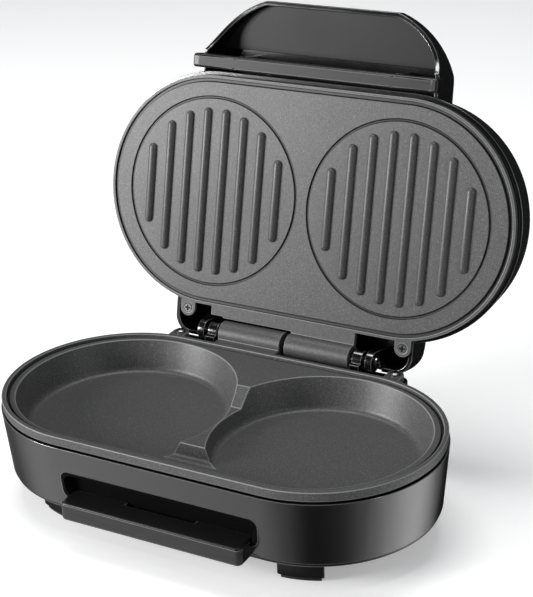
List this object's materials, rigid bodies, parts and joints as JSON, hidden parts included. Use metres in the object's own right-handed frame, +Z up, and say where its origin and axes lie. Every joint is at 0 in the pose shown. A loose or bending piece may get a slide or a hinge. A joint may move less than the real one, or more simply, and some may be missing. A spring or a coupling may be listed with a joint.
{
  "type": "electric omelette maker",
  "caption": "Electric omelette maker with side-by-side round wells in an obround black base and a hinged lid with a ribbed press plate, standing open.",
  "frame": {"origin": "on the standing plane, under the middle of the base's obround outline", "axes": "+Z up, +X along the length, -Y towards the handle side"},
  "size_m": [0.2654, 0.2333, 0.2481],
  "materials": {
    "housing_gloss": "glossy black moulded plastic",
    "black_satin": "satin black moulded plastic",
    "recess_black": "deep matt black moulded plastic",
    "panel_grey": "dark grey satin plastic",
    "trim_grey": "mid grey satin strip",
    "plate_coating": "cast aluminium with a dark grey speckled non-stick coating",
    "element_sheath": "heat-darkened steel sheath",
    "foot_rubber": "black rubber",
    "terminal_ceramic": "off-white ceramic",
    "dark_screw": "black-oxide steel",
    "pin_steel": "plain steel",
    "screw_steel": "zinc-plated steel",
    "sheet_steel": "plain sheet steel"
  },
  "bodies": {
    "base": {"base_housing": "housing_gloss", "recess_tray": "recess_black", "hinge_bridge": "housing_gloss", "bottom_cover": "black_satin", "foot_pads": "foot_rubber", "lower_cooking_plate": "plate_coating", "lower_heating_element": "element_sheath", "lower_element_clamps": "sheet_steel", "lower_clamp_screws": "screw_steel", "lower_heat_shield": "sheet_steel", "lower_shield_screws": "screw_steel", "thermostat": "sheet_steel", "thermostat_screws": "screw_steel", "thermal_fuse": "sheet_steel", "fuse_strap": "sheet_steel", "fuse_strap_screws": "screw_steel", "terminal_block": "terminal_ceramic", "terminal_screws": "screw_steel", "cord_gland": "foot_rubber", "plate_screws": "screw_steel", "lower_ear_screws": "dark_screw", "cover_screws": "screw_steel", "lower_handle": "black_satin", "lower_handle_trim": "trim_grey", "handle_screws": "screw_steel", "hinge_pin": "pin_steel", "pin_clip": "pin_steel"},
    "lid": {"lid_shell": "housing_gloss", "upper_cooking_plate": "plate_coating", "upper_heating_element": "element_sheath", "upper_element_clamps": "sheet_steel", "upper_clamp_screws": "screw_steel", "upper_heat_shield": "sheet_steel", "upper_shield_screws": "screw_steel", "upper_ear_screws": "dark_screw", "handle_panel": "panel_grey", "lid_handle_lip": "black_satin", "lid_lip_trim": "trim_grey", "lid_lip_screws": "screw_steel"}
  },
  "joints": [
    {"name": "lid_hinge", "type": "hinge", "parent": "base", "child": "lid", "pos_m": [-0.00175, 0.0834, 0.0607], "axis": [1, 0, 0], "range_deg": [0, 103.46]}
  ]
}
